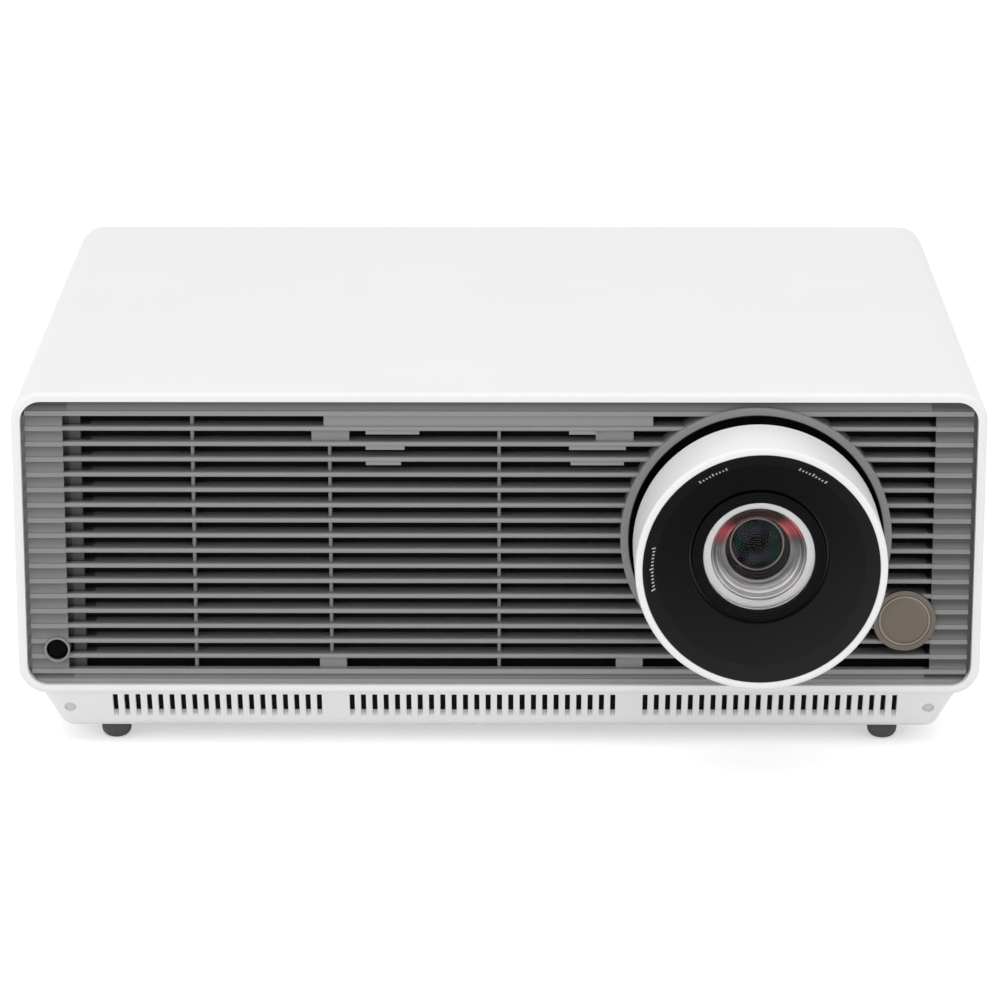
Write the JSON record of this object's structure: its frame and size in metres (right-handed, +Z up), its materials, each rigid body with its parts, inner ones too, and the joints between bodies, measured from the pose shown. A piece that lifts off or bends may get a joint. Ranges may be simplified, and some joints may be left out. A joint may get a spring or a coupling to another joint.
{
  "type": "home projector",
  "caption": "Low rectangular projector with a louvred front, an offset lens barrel with lens shift, zoom and focus, fans, sockets at the rear and screw feet.",
  "frame": {"origin": "on the table, at the middle of the overall footprint with the feet screwed in", "axes": "+X to the viewer's right when facing the lens, -Y forwards out of the lens, +Z up"},
  "size_m": [0.37, 0.3294, 0.1435],
  "materials": {
    "white_shell": "fine satin white",
    "white_base": "fine satin white",
    "hood_white": "smooth satin white",
    "grille_grey": "satin warm grey",
    "panel_grey": "spark-eroded dark grey",
    "filter_mesh": "open black mesh",
    "receiver_black": "glossy near-black",
    "badge_bronze": "satin champagne",
    "screw_steel": "zinc plated",
    "insert_brass": "turned",
    "foot_rubber": "matt dark grey",
    "cast_alloy": "die cast",
    "rod_steel": "ground",
    "motor_steel": "plated can",
    "prism_glass": "polished",
    "lens_glass": "coated and polished",
    "board_green": "solder mask",
    "supply_board": "phenolic board",
    "sink_alloy": "extruded",
    "laser_alloy": "milled",
    "pipe_copper": "copper",
    "fan_black": "moulded",
    "inlet_black": "moulded",
    "socket_metal": "nickel plated",
    "jack_black": "moulded",
    "carriage_black": "black anodised",
    "tube_black": "matt black",
    "dish_black": "fine satin black",
    "gear_black": "glass-filled nylon",
    "gear_white": "acetal",
    "cell_alloy": "turned, silver ring at the front",
    "cell_inner": "black anodised",
    "wheel_alloy": "coated disc",
    "stick_nylon": "moulded",
    "stick_black": "moulded",
    "stem_steel": "zinc plated"
  },
  "bodies": {
    "root": {"upper_shell": "white_shell", "base_tray": "white_base", "front_grille": "grille_grey", "rear_panel": "panel_grey", "dust_filters": "filter_mesh", "ir_receiver_window": "receiver_black", "front_badge": "badge_bronze", "case_screws": "screw_steel", "threaded_inserts": "insert_brass", "rear_feet": "foot_rubber", "engine_housing": "cast_alloy", "shift_rods_horizontal": "rod_steel", "shift_motor_horizontal": "motor_steel", "prism_block": "prism_glass", "light_tunnel": "prism_glass", "dmd_board": "board_green", "dmd_heatsink": "sink_alloy", "laser_module": "laser_alloy", "laser_heatsink": "sink_alloy", "heat_pipes": "pipe_copper", "phosphor_wheel_housing": "cast_alloy", "fan_frame_left": "fan_black", "fan_frame_right": "fan_black", "power_supply_board": "supply_board", "main_board": "board_green", "key_board": "board_green", "ac_inlet": "inlet_black", "hdmi_ports": "socket_metal", "usb_ports": "socket_metal", "network_ports": "socket_metal", "audio_jacks": "jack_black"},
    "carriage": {"horizontal_carriage": "carriage_black", "shift_rods_vertical": "rod_steel", "shift_motor_vertical": "motor_steel"},
    "lens": {"vertical_carriage": "carriage_black", "lens_tube": "tube_black", "lens_hood": "hood_white", "lens_dish": "dish_black", "rear_lens_group": "lens_glass", "focus_motor": "motor_steel", "zoom_motor": "motor_steel"},
    "focus_drive": {"focus_ring": "gear_black"},
    "focus_cell": {"front_lens_cell": "cell_alloy", "front_lens_glass": "lens_glass"},
    "zoom_drive": {"zoom_ring": "gear_black"},
    "zoom_cell": {"zoom_lens_cell": "cell_inner"},
    "focus_gear": {"focus_pinion": "gear_white"},
    "zoom_gear": {"zoom_pinion": "gear_white"},
    "cross_screw": {"shift_screw_horizontal": "rod_steel"},
    "lift_screw": {"shift_screw_vertical": "rod_steel"},
    "left_rotor": {"fan_rotor_left": "fan_black"},
    "right_rotor": {"fan_rotor_right": "fan_black"},
    "wheel": {"phosphor_wheel": "wheel_alloy"},
    "stick_gimbal": {"joystick_gimbal": "stick_nylon"},
    "stick": {"joystick_stem": "stick_nylon"},
    "stick_button": {"joystick_cap": "stick_black"},
    "left_stem": {"left_foot_stem": "stem_steel"},
    "left_knob": {"left_foot_pad": "foot_rubber"},
    "right_stem": {"right_foot_stem": "stem_steel"},
    "right_knob": {"right_foot_pad": "foot_rubber"}
  },
  "joints": [
    {"name": "lens_shift_across", "type": "slide", "parent": "root", "child": "carriage", "axis": [1, 0, 0], "range_m": [-0.003, 0.003]},
    {"name": "lens_shift_height", "type": "slide", "parent": "carriage", "child": "lens", "axis": [0, 0, 1], "range_m": [-0.004, 0.004]},
    {"name": "cross_screw_turn", "type": "hinge", "parent": "root", "child": "cross_screw", "pos_m": [0.123, -0.05425, 0.031], "axis": [1, 0, 0], "range_deg": [-361, 361]},
    {"name": "lift_screw_turn", "type": "hinge", "parent": "carriage", "child": "lift_screw", "pos_m": [0.0481, -0.06525, 0.086], "axis": [0, 0, 1], "range_deg": [-481, 481]},
    {"name": "focus_ring_turn", "type": "hinge", "parent": "lens", "child": "focus_drive", "pos_m": [0.098, -0.12525, 0.086], "axis": [0, 1, 0], "range_deg": [-30, 30]},
    {"name": "focus_pinion_turn", "type": "hinge", "parent": "lens", "child": "focus_gear", "pos_m": [0.06128, -0.12525, 0.1072], "axis": [0, 1, 0], "range_deg": [-236, 236]},
    {"name": "focus_cell_slide", "type": "slide", "parent": "lens", "child": "focus_cell", "axis": [0, 1, 0], "range_m": [-0.0015, 0.0015]},
    {"name": "zoom_ring_turn", "type": "hinge", "parent": "lens", "child": "zoom_drive", "pos_m": [0.098, -0.12525, 0.086], "axis": [0, 1, 0], "range_deg": [-35, 35]},
    {"name": "zoom_pinion_turn", "type": "hinge", "parent": "lens", "child": "zoom_gear", "pos_m": [0.13472, -0.12525, 0.1072], "axis": [0, 1, 0], "range_deg": [-275.2, 275.2]},
    {"name": "zoom_cell_slide", "type": "slide", "parent": "lens", "child": "zoom_cell", "axis": [0, 1, 0], "range_m": [-0.008, 0.008]},
    {"name": "left_fan_spin", "type": "hinge", "parent": "root", "child": "left_rotor", "pos_m": [-0.124, -0.10025, 0.0795], "axis": [0, 1, 0], "continuous": true},
    {"name": "right_fan_spin", "type": "hinge", "parent": "root", "child": "right_rotor", "pos_m": [-0.0195, -0.10025, 0.0795], "axis": [0, 1, 0], "continuous": true},
    {"name": "phosphor_wheel_spin", "type": "hinge", "parent": "root", "child": "wheel", "pos_m": [0.002, -0.02125, 0.061], "axis": [1, 0, 0], "continuous": true},
    {"name": "stick_tilt_height", "type": "hinge", "parent": "root", "child": "stick_gimbal", "pos_m": [0.12, 0.15475, 0.104], "axis": [1, 0, 0], "range_deg": [-7, 7], "stiffness_Nm_per_rad": 0.1},
    {"name": "stick_tilt_across", "type": "hinge", "parent": "stick_gimbal", "child": "stick", "pos_m": [0.12, 0.15475, 0.104], "axis": [0, 0, 1], "range_deg": [-7, 7], "stiffness_Nm_per_rad": 0.1},
    {"name": "stick_press", "type": "slide", "parent": "stick", "child": "stick_button", "axis": [0, -1, 0], "range_m": [0, 0.0006], "stiffness_N_per_m": 800},
    {"name": "left_stem_slide", "type": "slide", "parent": "root", "child": "left_stem", "axis": [0, 0, -1], "range_m": [0, 0.008]},
    {"name": "left_knob_turn", "type": "hinge", "parent": "left_stem", "child": "left_knob", "pos_m": [-0.1495, -0.10525, 0], "axis": [0, 0, -1], "range_deg": [0, 1921]},
    {"name": "right_stem_slide", "type": "slide", "parent": "root", "child": "right_stem", "axis": [0, 0, -1], "range_m": [0, 0.008]},
    {"name": "right_knob_turn", "type": "hinge", "parent": "right_stem", "child": "right_knob", "pos_m": [0.1495, -0.10525, 0], "axis": [0, 0, -1], "range_deg": [0, 1921]}
  ],
  "couplings": [
    {"joint": "cross_screw_turn", "follows": "lens_shift_across", "rad_per_m": 2094.4},
    {"joint": "lift_screw_turn", "follows": "lens_shift_height", "rad_per_m": 2094.4},
    {"joint": "focus_pinion_turn", "follows": "focus_ring_turn", "ratio": -7.8333},
    {"joint": "focus_cell_slide", "follows": "focus_ring_turn", "m_per_rad": 0.002864},
    {"joint": "zoom_pinion_turn", "follows": "zoom_ring_turn", "ratio": -7.8333},
    {"joint": "zoom_cell_slide", "follows": "zoom_ring_turn", "m_per_rad": 0.013096},
    {"joint": "left_knob_turn", "follows": "left_stem_slide", "rad_per_m": 4188.8},
    {"joint": "right_knob_turn", "follows": "right_stem_slide", "rad_per_m": 4188.8}
  ]
}
